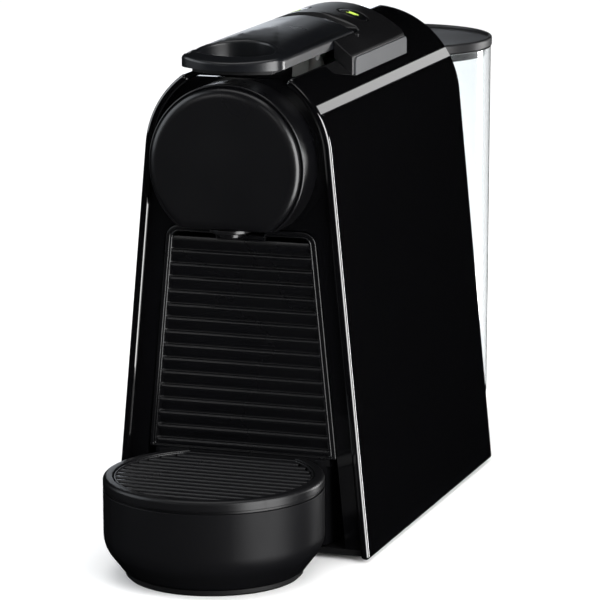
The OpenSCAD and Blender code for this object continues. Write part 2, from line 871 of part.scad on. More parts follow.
module valve_plunger() {
    color("#c43b2e") translate([0, valve_y, 0]) {
        translate([0, 0, seat_top - 2.9]) cylinder(h = 4, r = 2.1);
        translate([0, 0, seat_top + 1.02]) cylinder(h = 1.6, r = 3.4);
        translate([0, 0, seat_top + 2.5]) cylinder(h = 6, r = 0.8);
    }
}

module valve_spring() {
    color("#b9bcc0") translate([0, valve_y, seat_top + 2.7]) for (i = [0:3])
        translate([0, 0, 0.9 * i]) rotate_extrude() translate([2.2, 0.3]) circle(r = 0.3, $fn = 16);
}

module tank_lid() {
    color("#111113") translate([0, tank_y, 0]) {
        difference() {
            translate([0, 0, lid_top - 4.2]) cylinder(h = 4.2, r = tank_r + 0.5, $fn = 160);
            translate([0, 0, lid_top - 1]) cylinder(h = 2, r = tank_r - 1.2, $fn = 160);
        }
        translate([0, 0, lid_top - 8]) difference() {
            cylinder(h = 4, r = tank_r - tank_wall - 0.5, $fn = 160);
            translate([0, 0, -1]) cylinder(h = 6, r = tank_r - tank_wall - 2, $fn = 160);
        }
    }
}

outer_shell();
front_fascia();
rear_panel();
base_plate();
rubber_feet();
base_screws();
rear_screws();
cord_gland();
tank_seat();
seat_seal();
loading_deck();
brew_frame();
brew_head_cover();
brew_head_cap();
brew_head_block();
pyramid_plate();
coffee_outlet();
top_panel();
cheek_left();
cheek_right();
button_board();
board_switches();
lever_pin();
idler_shaft();
inlet_tube();
thermoblock();
thermal_fuse();
pump_body();
pump_mounts();
flow_meter();
meter_cap();
tank_hose();
pump_hose();
heater_hose();
main_board();
board_parts();
lever_plate();
lever_liner();
lever_gear();
idler_pinion();
capsule_cage();
needle_plate();
cage_seal();
drive_rack();
button_left();
button_right();
lens_left();
lens_right();
pump_plunger();
flow_rotor();
drip_tray();
base_ring();
base_foot();
capsule_container();
drip_grid();
water_tank();
valve_body();
valve_plunger();
valve_spring();
tank_lid();
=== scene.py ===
"""A compact pod coffee machine on a pale studio floor, built around its CAD frame.

Helper lengths are millimetres in the CAD frame: X to the right, Y to the back, Z up.
"""

import json
import math

import bmesh
import bpy
from mathutils import Matrix, Vector
from mathutils.geometry import delaunay_2d_cdt


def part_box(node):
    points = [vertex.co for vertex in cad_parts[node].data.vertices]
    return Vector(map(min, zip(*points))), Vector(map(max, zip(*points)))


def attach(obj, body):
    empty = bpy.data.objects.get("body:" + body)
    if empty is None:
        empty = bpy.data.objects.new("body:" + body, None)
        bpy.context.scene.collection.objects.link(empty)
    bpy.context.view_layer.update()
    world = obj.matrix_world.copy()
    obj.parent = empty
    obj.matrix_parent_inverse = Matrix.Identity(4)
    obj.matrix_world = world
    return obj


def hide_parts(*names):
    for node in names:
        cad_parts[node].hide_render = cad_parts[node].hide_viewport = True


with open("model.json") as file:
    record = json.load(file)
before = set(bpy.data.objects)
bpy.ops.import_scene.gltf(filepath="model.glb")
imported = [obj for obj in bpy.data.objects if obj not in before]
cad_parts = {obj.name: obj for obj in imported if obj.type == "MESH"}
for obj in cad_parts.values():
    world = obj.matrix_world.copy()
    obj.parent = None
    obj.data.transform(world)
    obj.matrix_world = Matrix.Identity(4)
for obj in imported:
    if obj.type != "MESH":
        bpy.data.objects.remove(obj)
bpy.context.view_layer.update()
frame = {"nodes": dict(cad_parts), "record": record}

MM = 0.001


def cad(node):
    """Lowest and highest corner of a CAD node, in millimetres."""
    low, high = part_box(node)
    return low / MM, high / MM


# ---------- driving dimensions, from the frame where it has them ----------

SHELL_LOW, SHELL_HIGH = cad("outer_shell")
PANEL_LOW, PANEL_HIGH = cad("top_panel")
LEVER_LOW, LEVER_HIGH = cad("lever_plate")
RING_LOW, RING_HIGH = cad("base_ring")
TRAY_HIGH = cad("drip_tray")[1]
LID_LOW, LID_HIGH = cad("tank_lid")
TANK_LOW, TANK_HIGH = cad("water_tank")
CAP_LOW, CAP_HIGH = cad("brew_head_cap")
COVER_LOW, COVER_HIGH = cad("brew_head_cover")
BIN_LOW, BIN_HIGH = cad("capsule_container")
PIN_LOW, PIN_HIGH = cad("lever_pin")
BUTTON_LOW, BUTTON_HIGH = cad("button_right")

FIT = 0.05  # gap left between parts that lie on the shell and the shell
ARCH_Z = 162.6  # height of the arch's centre
ARCH_R = 39.5
SIDE_SLOPE = 0.0943  # width lost per height on the shell's sides
SHELL_WALL = 3.5
OPENING_HALF = 26  # half width of the opening under the top panel
FASCIA_Y = SHELL_LOW.y + 3  # front face, set back inside the shell's rim
CROWN_R = 40.8  # crown that the top panel and the lever share
CROWN_TOP = PANEL_HIGH.z
NOSE_R = 290  # curve that takes the lever's top down to its front edge
NOSE_Y = -45
HINGE_Y = (PIN_LOW.y + PIN_HIGH.y) / 2
LEVER_HALF = LEVER_HIGH.x
SLOT_HALF = LEVER_HALF + 0.35  # the panel's slot for the lever
SHELL_SLOT_HALF = SLOT_HALF + 0.4  # the shell's slot, out of sight below the panel's
SWING_R = 8.6  # room round the hinge for the lever's back edge
BUTTON_R = (BUTTON_HIGH.x - BUTTON_LOW.x) / 2
BUTTON_X = (BUTTON_HIGH.x + BUTTON_LOW.x) / 2
BUTTON_Y = (BUTTON_HIGH.y + BUTTON_LOW.y) / 2
BUTTON_GAP = 0.35
BREW_Z = 161  # height of the brew head's axis
DRUM_FLAT = CAP_LOW.z
CONTAINER_GAP = 11  # the ribbed face stops this far inside the shell's sides
RIB_COUNT = 16
RIB_PITCH = 5.6
RIB_TOP = 126.3  # height of the uppermost rib
BASE_R = (RING_HIGH.x - RING_LOW.x) / 2
BASE_Y = (RING_LOW.y + RING_HIGH.y) / 2
TANK_R = TANK_HIGH.x
TANK_WALL = 2.0
TANK_Y = (LID_LOW.y + LID_HIGH.y) / 2
LID_R = LID_HIGH.x


# ---------- outlines: lists of 2D points ----------


def arc(centre, radius, start, end, steps):
    """Points on an arc, angles in degrees."""
    angles = [math.radians(start + (end - start) * k / steps) for k in range(steps + 1)]
    return [(centre[0] + radius * math.cos(a), centre[1] + radius * math.sin(a)) for a in angles]


def rounded(corners, steps=6, closed=True):
    """Outline through (x, y, radius) corners, each corner turned into an arc."""
    points = []
    last = len(corners) - 1
    for i, (x, y, radius) in enumerate(corners):
        if radius == 0 or (not closed and i in (0, last)):
            points.append((x, y))
            continue
        here = Vector((x, y))
        before = (Vector(corners[i - 1][:2]) - here).normalized()
        after = (Vector(corners[(i + 1) % len(corners)][:2]) - here).normalized()
        half = before.angle(after) / 2
        start = here + before * (radius / math.tan(half))
        end = here + after * (radius / math.tan(half))
        centre = here + (before + after).normalized() * (radius / math.sin(half))
        first = math.atan2(start.y - centre.y, start.x - centre.x)
        turn = math.atan2(end.y - centre.y, end.x - centre.x) - first
        turn = (turn + math.pi) % (2 * math.pi) - math.pi
        points += arc(centre, radius, math.degrees(first), math.degrees(first + turn), steps)
    return points


def inset(loop, distance):
    """A counter-clockwise loop pulled in by a distance; a clockwise loop, such as a hole, grows."""
    moved = []
    for i, point in enumerate(loop):
        here = Vector(point)
        before = (here - Vector(loop[i - 1])).normalized()
        after = (Vector(loop[(i + 1) % len(loop)]) - here).normalized()
        side = Vector((-before.y, before.x))
        normal = (side + Vector((-after.y, after.x))).normalized()
        moved.append(tuple(here + normal * (distance / max(0.3, normal.dot(side)))))
    return moved


def inside(point, loops):
    """Even-odd test of a point against several loops."""
    x, y = point
    hit = False
    for loop in loops:
        for i, (x1, y1) in enumerate(loop):
            x0, y0 = loop[i - 1]
            if (y0 > y) != (y1 > y) and x < x0 + (y - y0) / (y1 - y0) * (x1 - x0):
                hit = not hit
    return hit


def half_w(z):
    """Half width of the shell at a height on its straight sides."""
    tilt = math.atan(SIDE_SLOPE)
    return ARCH_R / math.cos(tilt) + (ARCH_Z - z) * SIDE_SLOPE


def crown_z(x):
    """Height of the crown that the top panel and the lever share."""
    return CROWN_TOP - CROWN_R + math.sqrt(CROWN_R**2 - x**2)


def arch_z(x, radius=ARCH_R):
    """Height of the shell's arch, or of one of another radius round the same centre."""
    return ARCH_Z + math.sqrt(max(0, radius**2 - x**2))


def lever_z(x, y):
    """The lever's top: the crown, softly blended into the falling nose."""
    blend = 0.6
    crown = crown_z(min(abs(x), LEVER_HALF))
    reach = min(0, y - NOSE_Y)
    nose = CROWN_TOP - NOSE_R + math.sqrt(NOSE_R**2 - reach**2)
    low = min(crown, nose)
    spare = math.exp((low - max(crown, nose)) / blend)
    return low - blend * math.log(1 + spare) + blend * math.log(2) * spare**4


# ---------- solids: (points, faces) ----------


class Shape:
    """Points and faces of one piece."""

    def __init__(self):
        self.points = []
        self.faces = []

    def add(self, points, faces):
        first = len(self.points)
        self.points += points
        self.faces += [tuple(first + i for i in face) for face in faces]

    def loft(self, rings, caps=(True, True), closed=False):
        """Skin over rings of equal count; closed joins the last ring to the first."""
        count = len(rings[0])
        first = len(self.points)
        for ring in rings:
            self.points += ring
        pairs = list(zip(range(len(rings) - 1), range(1, len(rings))))
        if closed:
            pairs.append((len(rings) - 1, 0))
        for low, high in pairs:
            for i in range(count):
                j = (i + 1) % count
                quad = (low * count + i, low * count + j, high * count + j, high * count + i)
                self.faces.append(tuple(first + k for k in quad))
        if caps[0] and not closed:
            self.faces.append(tuple(first + i for i in reversed(range(count))))
        if caps[1] and not closed:
            last = first + (len(rings) - 1) * count
            self.faces.append(tuple(last + i for i in range(count)))

    def lathe(self, profile, centre, closed=False, steps=128):
        """Turns an (r, z) profile round a vertical axis at centre."""
        rings = []
        for radius, z in profile:
            flat = arc(centre, max(radius, 0.002), 0, 360 - 360 / steps, steps - 1)
            rings.append([(x, y, z) for x, y in flat])
        self.loft(rings, closed=closed)

    def slab(self, loops, top, bottom, fillet=0.8, grid=3.0, steps=4):
        """Plate between two height functions, with its top edge rounded; loops[1:] are holes."""
        for loop in loops:
            rings = [[(x, y, bottom(x, y)) for x, y in loop]]
            for k in range(steps + 1):
                turn = math.pi / 2 * k / steps
                edge = inset(loop, fillet * (1 - math.cos(turn)))
                drop = fillet * (1 - math.sin(turn))
                rings.append([(x, y, top(x, y) - drop) for x, y in edge])
            self.loft(rings, caps=(False, False))
        inner = [inset(loop, fillet) for loop in loops]
        self.skin(inner, top, grid, up=True)
        self.skin(loops, bottom, grid, up=False)

    def skin(self, loops, height, grid, up):
        """Triangulated surface inside the first loop and outside the rest."""
        points = [p for loop in loops for p in loop]
        edges = []
        first = 0
        for loop in loops:
            edges += [(first + i, first + (i + 1) % len(loop)) for i in range(len(loop))]
            first += len(loop)
        low_x = min(x for x, y in loops[0])
        low_y = min(y for x, y in loops[0])
        across = int((max(x for x, y in loops[0]) - low_x) / grid)
        along = int((max(y for x, y in loops[0]) - low_y) / grid)
        clear = (0.45 * grid) ** 2
        border = list(points)
        for i in range(1, across + 1):
            for j in range(1, along + 1):
                spot = (low_x + i * grid, low_y + j * grid)
                far = all((spot[0] - x) ** 2 + (spot[1] - y) ** 2 > clear for x, y in border)
                if far and inside(spot, loops):
                    points.append(spot)
        made = delaunay_2d_cdt([Vector(p) for p in points], edges, [], 0, 1e-5)
        corners, triangles = made[0], made[2]
        faces = []
        for triangle in triangles:
            middle = sum((corners[i] for i in triangle), Vector((0, 0))) / len(triangle)
            if inside(middle, loops):
                faces.append(tuple(triangle if up else reversed(triangle)))
        self.add([(c.x, c.y, height(c.x, c.y)) for c in corners], faces)


def piece(name, shape, body, slot, nodes=(), bevel=0.0, segments=3, sharp=40):
    """Makes an object from a shape, rounds its sharp edges and sets it riding on its body."""
    mesh = bpy.data.meshes.new(name)
    mesh.from_pydata([tuple(c * MM for c in p) for p in shape.points], [], shape.faces)
    work = bmesh.new()
    work.from_mesh(mesh)
    bmesh.ops.remove_doubles(work, verts=work.verts, dist=4e-6)
    loose = [v for v in work.verts if not v.link_faces]
    bmesh.ops.delete(work, geom=loose, context="VERTS")
    bmesh.ops.recalc_face_normals(work, faces=work.faces)
    work.to_mesh(mesh)
    work.free()
    mesh.polygons.foreach_set("use_smooth", [True] * len(mesh.polygons))
    thing = bpy.data.objects.new(name, mesh)
    bpy.context.collection.objects.link(thing)
    if bevel:
        rounding = thing.modifiers.new("Bevel", "BEVEL")
        rounding.width = bevel * MM
        rounding.segments = segments
        rounding.limit_method = "ANGLE"
        rounding.angle_limit = math.radians(sharp)
        rounding.use_clamp_overlap = True
    else:
        mesh.set_sharp_from_angle(angle=math.radians(sharp))
    weighting = thing.modifiers.new("WeightedNormal", "WEIGHTED_NORMAL")
    weighting.keep_sharp = True
    mesh.materials.append(finish(slot))
    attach(thing, body)
    if nodes:
        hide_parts(*nodes)
    return thing


# ---------- materials ----------

CLEAR_COAT = {"Coat Weight": 1.0, "Coat Roughness": 0.03}
FINISHES = {
    # slot: colour, roughness, variation, bump, grain per metre, extra shader values
    "gloss_shell": ((0.0015, 0.0015, 0.0017), 0.045, 0.02, 0.002, 260, CLEAR_COAT),
    "gloss_fascia": ((0.0015, 0.0015, 0.0018), 0.09, 0.05, 0.01, 300, {}),
    # the cheeks' black plastic is lightened to about fifteen times the other blacks as a painted sheen; it
    # stands in for the grey reflection of the right-rear light on their sides
    "gloss_cheek": ((0.03, 0.031, 0.034), 0.38, 0.08, 0.05, 1800, {}),
    "gloss_black_trim": ((0.003, 0.003, 0.0034), 0.26, 0.05, 0.02, 700, {}),
    "satin_black": ((0.0022, 0.0022, 0.0028), 0.3, 0.08, 0.05, 2400, {}),
    "satin_panel": ((0.0018, 0.0018, 0.0023), 0.36, 0.08, 0.06, 2400, {}),
    "satin_lever": ((0.0035, 0.004, 0.0052), 0.3, 0.08, 0.05, 2400, {}),
    "satin_base": ((0.003, 0.003, 0.0036), 0.42, 0.08, 0.06, 2400, {"Specular IOR Level": 0.12}),
    "satin_ring": ((0.003, 0.003, 0.0036), 0.34, 0.08, 0.05, 2000, {"Specular IOR Level": 0.3}),
    "ribbed_black": ((0.0022, 0.0022, 0.0027), 0.24, 0.08, 0.05, 2200, {}),
    "grid_black": ((0.005, 0.005, 0.0058), 0.3, 0.08, 0.06, 2200, {}),
    "lid_black": ((0.007, 0.007, 0.008), 0.42, 0.08, 0.08, 2600, {}),
    "matte_black": ((0.004, 0.004, 0.0045), 0.55, 0.1, 0.12, 1800, {"Specular IOR Level": 0.2}),
    "rubber_black": ((0.014, 0.014, 0.014), 0.75, 0.1, 0.2, 1500, {}),
    "button_black": ((0.002, 0.002, 0.0025), 0.22, 0.06, 0.03, 1500, {}),
    "icon_lens": ((0.004, 0.005, 0.004), 0.12, 0.04, 0.02, 800, {}),
    "tank_clear": ((0.93, 0.96, 0.97), 0.03, 0.03, 0.01, 90, {"Transmission Weight": 1.0, "IOR": 1.49}),
    "steel": ((0.55, 0.56, 0.58), 0.28, 0.1, 0.05, 1400, {"Metallic": 1.0}),
    "screw_steel": ((0.42, 0.42, 0.44), 0.32, 0.12, 0.08, 1800, {"Metallic": 1.0}),
    "cast_aluminium": ((0.55, 0.55, 0.56), 0.5, 0.12, 0.25, 1200, {"Metallic": 0.9}),
    "seal_red": ((0.42, 0.06, 0.04), 0.6, 0.1, 0.1, 1200, {"Subsurface Weight": 0.05}),
    "valve_red": ((0.5, 0.05, 0.04), 0.35, 0.08, 0.06, 1500, {}),
    "white_plastic": ((0.74, 0.74, 0.72), 0.42, 0.08, 0.06, 1800, {"Subsurface Weight": 0.03}),
    "component_white": ((0.7, 0.67, 0.6), 0.55, 0.1, 0.1, 1600, {}),
    "component_black": ((0.02, 0.02, 0.022), 0.45, 0.1, 0.1, 1600, {}),
    "frame_grey": ((0.006, 0.006, 0.0065), 0.5, 0.1, 0.12, 1600, {"Specular IOR Level": 0.2}),
    "pcb_green": ((0.02, 0.11, 0.045), 0.35, 0.1, 0.06, 1200, {}),
    "hose_silicone": ((0.75, 0.76, 0.74), 0.4, 0.08, 0.05, 900, {"Transmission Weight": 0.35}),
}
LINT = (0.30, 0.31, 0.33)  # pale dust
CLEAR_SPECKS = (0.86, 0.9, 0.92)  # the same on the clear tank
SMUDGE_SCALE = 14  # noise scales, per metre
RUB_SCALE = 45
LINT_SCALE = 420
GRAIN_HEIGHT = 0.00012
made_finishes = {}


class Tree:
    """A material's node tree, built a node at a time."""

    def __init__(self, name):
        self.material = bpy.data.materials.new(name)
        self.material.use_nodes = True
        self.nodes = self.material.node_tree.nodes
        self.links = self.material.node_tree.links
        self.shader = self.nodes["Principled BSDF"]
        self.place = self.nodes.new("ShaderNodeTexCoord").outputs["Object"]

    def noise(self, scale, detail=3.0, stretch=(1, 1, 1)):
        """Noise in the object's own space, optionally stretched into streaks."""
        mapping = self.nodes.new("ShaderNodeMapping")
        mapping.inputs["Scale"].default_value = stretch
        self.links.new(self.place, mapping.inputs["Vector"])
        texture = self.nodes.new("ShaderNodeTexNoise")
        texture.inputs["Scale"].default_value = scale
        texture.inputs["Detail"].default_value = detail
        self.links.new(mapping.outputs["Vector"], texture.inputs["Vector"])
        return texture.outputs["Fac"]

    def ramp(self, value, low, high, to_low, to_high):
        """Maps a value from one range to another, clamped."""
        scaled = self.nodes.new("ShaderNodeMapRange")
        scaled.inputs["From Min"].default_value = low
        scaled.inputs["From Max"].default_value = high
        scaled.inputs["To Min"].default_value = to_low
        scaled.inputs["To Max"].default_value = to_high
        self.links.new(value, scaled.inputs["Value"])
        return scaled.outputs["Result"]

    def blend(self, factor, first, second):
        """Mixes two fixed colours by a factor."""
        mixed = self.nodes.new("ShaderNodeMix")
        mixed.data_type = "RGBA"
        mixed.inputs["A"].default_value = (*first, 1)
        mixed.inputs["B"].default_value = (*second, 1)
        self.links.new(factor, mixed.inputs["Factor"])
        return mixed.outputs["Result"]

    def add(self, first, second):
        """Sum of two values."""
        total = self.nodes.new("ShaderNodeMath")
        self.links.new(first, total.inputs[0])
        self.links.new(second, total.inputs[1])
        return total.outputs["Value"]

    def bump(self, height, strength, distance):
        """Bumps the shader's normal by a height value."""
        relief = self.nodes.new("ShaderNodeBump")
        relief.inputs["Strength"].default_value = strength
        relief.inputs["Distance"].default_value = distance
        self.links.new(height, relief.inputs["Height"])
        self.links.new(relief.outputs["Normal"], self.shader.inputs["Normal"])


def finish(slot):
    """The material of one of the record's slots, with smudges, rub marks, lint and a fine grain."""
    if slot in made_finishes:
        return made_finishes[slot]
    colour, roughness, variation, relief, grain, extra = FINISHES[slot]
    tree = Tree(slot)
    smooth, rough = roughness - variation / 2, roughness + variation
    smudge = tree.ramp(tree.noise(SMUDGE_SCALE, 5), 0.35, 0.7, smooth, rough)
    rubs = tree.ramp(tree.noise(RUB_SCALE, 2, (1, 6, 1)), 0.62, 0.8, 0, variation)
    tree.links.new(tree.add(smudge, rubs), tree.shader.inputs["Roughness"])
    lint = tree.ramp(tree.noise(LINT_SCALE, 6), 0.70, 0.80, 0, 0.05)
    worn = tuple(c + (l - c) * 0.35 for c, l in zip(colour, LINT))
    if slot == "tank_clear":
        worn = CLEAR_SPECKS
    tree.links.new(tree.blend(lint, colour, worn), tree.shader.inputs["Base Color"])
    tree.bump(tree.noise(grain, 3), relief, GRAIN_HEIGHT)
    for socket, number in extra.items():
        tree.shader.inputs[socket].default_value = number
    made_finishes[slot] = tree.material
    return tree.material


def lit_icon():
    """Green-yellow light of a backlit button icon, a little uneven across it."""
    tree = Tree("icon_light")
    glow = tree.ramp(tree.noise(600, 2), 0.3, 0.7, 0, 1)
    colour = tree.blend(glow, (0.42, 0.62, 0.05), (0.55, 0.78, 0.12))
    tree.links.new(colour, tree.shader.inputs["Base Color"])
    tree.links.new(colour, tree.shader.inputs["Emission Color"])
    tree.links.new(tree.ramp(tree.noise(900, 2), 0.3, 0.7, 0.25, 0.4), tree.shader.inputs["Roughness"])
    tree.shader.inputs["Emission Strength"].default_value = 0.35
    tree.bump(tree.noise(2500, 2), 0.05, 0.0001)
    return tree.material


# ---------- shell, top panel and cheeks ----------


def arch_outline(pull, foot):
    """Shell outline in (x, z) from the left foot over the arch to the right foot."""
    tilt = math.atan(SIDE_SLOPE)
    radius = ARCH_R - pull
    low_x = radius / math.cos(tilt) + (ARCH_Z - foot) * SIDE_SLOPE
    high_x = radius * math.cos(tilt)
    high_z = ARCH_Z + radius * math.sin(tilt)
    side_steps = 6
    side = [
        (low_x + (high_x - low_x) * k / side_steps, foot + (high_z - foot) * k / side_steps)
        for k in range(side_steps)
    ]
    slot_turn = math.degrees(math.asin(SHELL_SLOT_HALF / ARCH_R))
    opening_turn = math.degrees(math.asin(OPENING_HALF / ARCH_R))
    stops = [(0, 10), (slot_turn, 3), (opening_turn, 18), (90 - math.degrees(tilt), 0)]
    turns = []
    for (start, steps), (end, _) in zip(stops, stops[1:]):
        turns += [start + (end - start) * k / steps for k in range(steps)]
    turns.append(stops[-1][0])
    top = [
        (radius * math.sin(math.radians(t)), ARCH_Z + radius * math.cos(math.radians(t)))
        for t in reversed(turns)
    ]
    right = side + top
    left = [(-x, z) for x, z in right[:-1]]
    return left + right[::-1]


def outer_shell():
    """Bent shell with the lever slot and the opening under the top panel cut out of it."""
    opening_end = PANEL_HIGH.y - 6
    rows = [SHELL_LOW.y, PANEL_LOW.y, opening_end, SHELL_HIGH.y]
    outer = arch_outline(0, SHELL_LOW.z)
    inner = arch_outline(SHELL_WALL, SHELL_LOW.z)
    shape = Shape()

    def kept(i, j):
        if not (0 <= i < len(outer) - 1 and 0 <= j < len(rows) - 1):
            return False
        middle = abs(outer[i][0] + outer[i + 1][0]) / 2
        high = outer[i][1] > ARCH_Z
        slot = j == 0 and high and middle < SHELL_SLOT_HALF
        opening = j == 1 and high and middle < OPENING_HALF
        return not (slot or opening)

    def corner(outline, i, j):
        return (outline[i][0], rows[j], outline[i][1])

    for i in range(len(outer) - 1):
        for j in range(len(rows) - 1):
            if not kept(i, j):
                continue
            ring = [(i, j), (i + 1, j), (i + 1, j + 1), (i, j + 1)]
            shape.add([corner(outer, *c) for c in ring], [(0, 1, 2, 3)])
            shape.add([corner(inner, *c) for c in ring], [(3, 2, 1, 0)])
            beyond = [(i, j - 1), (i + 1, j), (i, j + 1), (i - 1, j)]
            for k, cell in enumerate(beyond):
                if kept(*cell):
                    continue
                start = ring[k]
                end = ring[(k + 1) % 4]
                wall = [corner(outer, *start), corner(inner, *start)]
                wall += [corner(inner, *end), corner(outer, *end)]
                shape.add(wall, [(0, 1, 2, 3)])
    nodes = ["outer_shell"]
    piece("outer_shell_skin", shape, "machine", "gloss_shell", nodes, bevel=1.35, segments=6, sharp=45)


def top_panel():
    """Crowned panel round the lever slot, with two button holes."""
    side = PANEL_HIGH.x
    front = PANEL_LOW.y
    back = PANEL_HIGH.y
    slot_end = HINGE_Y + SWING_R
    slot_corner = 1.5
    back_corner = 3
    slot_edge = rounded(
        [
            (-side, front, 0),
            (-SLOT_HALF, front, 0),
            (-SLOT_HALF, slot_end, slot_corner),
            (SLOT_HALF, slot_end, slot_corner),
            (SLOT_HALF, front, 0),
            (side, front, 0),
        ],
        closed=False,
    )
    outer_edge = rounded(
        [(side, front, 0), (side, back, back_corner), (-side, back, back_corner), (-side, front, 0)],
        closed=False,
    )
    outline = slot_edge + outer_edge[1:-1]
    holes = [arc(button_place(sign), BUTTON_R + BUTTON_GAP, 360, 9, 40) for sign in (-1, 1)]
    least_wall = 0.9

    def underside(x, y):
        return min(arch_z(x, ARCH_R + FIT), crown_z(x) - least_wall)

    shape = Shape()
    shape.slab([outline] + holes, lambda x, y: crown_z(x), underside, fillet=0.7, grid=3.2)
    piece("top_panel_crown", shape, "machine", "satin_panel", ["top_panel"], sharp=50)


def cheeks():
    """Thin side plates of the top panel, with a rounded outer edge."""
    edge = 0.3
    top_corner = 2
    low_corner = 0.2
    for name, sign in (("right", 1), ("left", -1)):
        low, high = cad("cheek_" + name)
        start = min(abs(low.x), abs(high.x))
        end = max(abs(low.x), abs(high.x))
        rings = []
        for x, pull in ((start, 0), (end - edge, 0), (end - 0.3 * edge, 0.3 * edge), (end, edge)):
            foot = arch_z(x) + FIT + pull
            top = high.z - pull
            corners = [(low.y + pull, foot, low_corner), (high.y - pull, foot, low_corner)]
            corners += [(high.y - pull, top, top_corner), (low.y + pull, top, top_corner)]
            rings.append([(sign * x, y, z) for y, z in rounded(corners)])
        shape = Shape()
        shape.loft(rings)
        piece("cheek_plate_" + name, shape, "machine", "gloss_cheek", ["cheek_" + name], sharp=60)


# ---------- lever ----------


def lever_outline():
    """Round-nosed plan outline of the lever, counter-clockwise."""
    front_r = 30.4
    corner_r = 9
    centre_y = LEVER_LOW.y + front_r
    back = LEVER_HIGH.y
    side_x = LEVER_HALF - corner_r
    side_y = centre_y - math.sqrt((front_r - corner_r) ** 2 - side_x**2)
    meet = math.degrees(math.atan2(side_y - centre_y, side_x))
    nose = arc((0, centre_y), front_r, -180 - meet, meet, 28)
    right = arc((side_x, side_y), corner_r, meet, 0, 6)[1:]
    left = [(-x, y) for x, y in reversed(right)]
    sides = [(LEVER_HALF, back), (-LEVER_HALF, back)]
    return left + nose + right + sides


def finger_hole():
    """Hole with a shallow front edge and a round back edge, clockwise."""
    back_y, back_r = -92.6, 15.6
    front_y, front_r = -65.8, 33.0
    apart = front_y - back_y
    rise = (back_r**2 - front_r**2 + apart**2) / (2 * apart)
    tip_x = math.sqrt(back_r**2 - rise**2)
    back_turn = math.degrees(math.atan2(rise, tip_x))
    front_turn = math.degrees(math.atan2(rise - apart, tip_x))
    back = arc((0, back_y), back_r, back_turn, 180 - back_turn, 40)
    front = arc((0, front_y), front_r, -180 - front_turn, front_turn, 20)
    return (back + front[1:-1])[::-1]


def lever():
    """Lever plate with its finger hole."""
    loops = [lever_outline(), finger_hole()]
    shape = Shape()
    shape.slab(loops, lever_z, lambda x, y: LEVER_LOW.z, fillet=1.0, grid=2.6, steps=5)
    piece("lever_crown", shape, "lever", "satin_lever", ["lever_plate"], sharp=45)


# ---------- buttons ----------


def button_place(sign):
    """Plan position of a button."""
    return (sign * BUTTON_X, BUTTON_Y)


def cup_outline(centre, size):
    """Side view of a plain cup: a tapered bowl."""
    x, y = centre
    foot_x = 0.62 * size
    foot_y = y - 0.8 * size
    rim_y = y + 0.6 * size
    foot = [(x - foot_x, foot_y, 0.25 * size), (x + foot_x, foot_y, 0.25 * size)]
    rim = [(x + size, rim_y, 0.05), (x - size, rim_y, 0.05)]
    return rounded(foot + rim, steps=4)


def cup_icon(name, body, x, y):
    """Backlit icon on a button: a plain cup with its handle and saucer."""

    def top(a, b):
        return crown_z(a) + 0.09

    def bottom(a, b):
        return crown_z(a) - 0.2

    cup = cup_outline((x - 0.3, y), 1.75)
    grip = (x + 1.45, y + 0.1)
    handle = [arc(grip, 0.95, 0, 350, 35), arc(grip, 0.55, 350, 0, 35)]
    left, right = x - 2.3, x + 1.7
    low, high = y - 2.25, y - 1.85
    round_r = 0.15
    corners = [(left, low, round_r), (right, low, round_r), (right, high, round_r), (left, high, round_r)]
    saucer = rounded(corners, steps=3)
    shape = Shape()
    for loops in ([cup], handle, [saucer]):
        shape.slab(loops, top, bottom, fillet=0.02, grid=0.8)
    icon = piece("cup_icon_" + name, shape, body, "icon_lens")
    icon.data.materials[0] = lit_icon()


def buttons():
    """Round buttons that follow the crown, each with a lens and an icon."""
    cap_bottom = 200.5
    stem_r = 1.8
    stem_top = 201
    lens_r = 3.9
    lens_bottom = 205.2
    lens_lift = 0.03
    for name, sign in (("right", 1), ("left", -1)):
        x, y = button_place(sign)
        body = name + "_button"
        cap = [arc((x, y), BUTTON_R, 0, 351, 39)]
        shape = Shape()
        shape.slab(cap, lambda a, b: crown_z(a), lambda a, b: cap_bottom, 0.6, 2.0)
        stem = arc((x, y), stem_r, 0, 345, 23)
        shape.loft([[(a, b, z) for a, b in stem] for z in (BUTTON_LOW.z, stem_top)])
        piece("button_cap_" + name, shape, body, "button_black", ["button_" + name])
        shape = Shape()
        lens = [arc((x, y), lens_r, 0, 350, 35)]
        shape.slab(lens, lambda a, b: crown_z(a) + lens_lift, lambda a, b: lens_bottom, 0.05, 1.5)
        piece("icon_window_" + name, shape, body, "icon_lens", ["lens_" + name])
        cup_icon(name, body, x, y)


# ---------- brew head ----------


def drum_ring(radius, pull, y):
    """Ring of the brew head: a circle cut flat underneath, with rounded corners."""
    corner = 4.0
    flat = BREW_Z - DRUM_FLAT
    centre_z = -(flat - corner)
    centre_x = math.sqrt((radius - corner) ** 2 - centre_z**2)
    meet = math.degrees(math.atan2(centre_z, centre_x))
    circle = arc((0, 0), radius - pull, meet, 180 - meet, 96)
    left = arc((-centre_x, centre_z), corner - pull, 180 - meet, 270, 6)
    right = arc((centre_x, centre_z), corner - pull, -90, meet, 6)
    return [(x, y, BREW_Z + z) for x, z in circle + left[1:] + right[:-1]]


def shrunk(ring, share, y):
    """A ring scaled about the brew head's axis."""
    return [(x * share, y, BREW_Z + (z - BREW_Z) * share) for x, _, z in ring]


def fillet_steps(width, depth, steps):
    """(pull, depth) pairs round a quarter ellipse, from the face to the side."""
    turns = [math.pi / 2 * k / steps for k in range(steps + 1)]
    return [(width * (1 - math.sin(t)), depth * (1 - math.cos(t))) for t in turns]


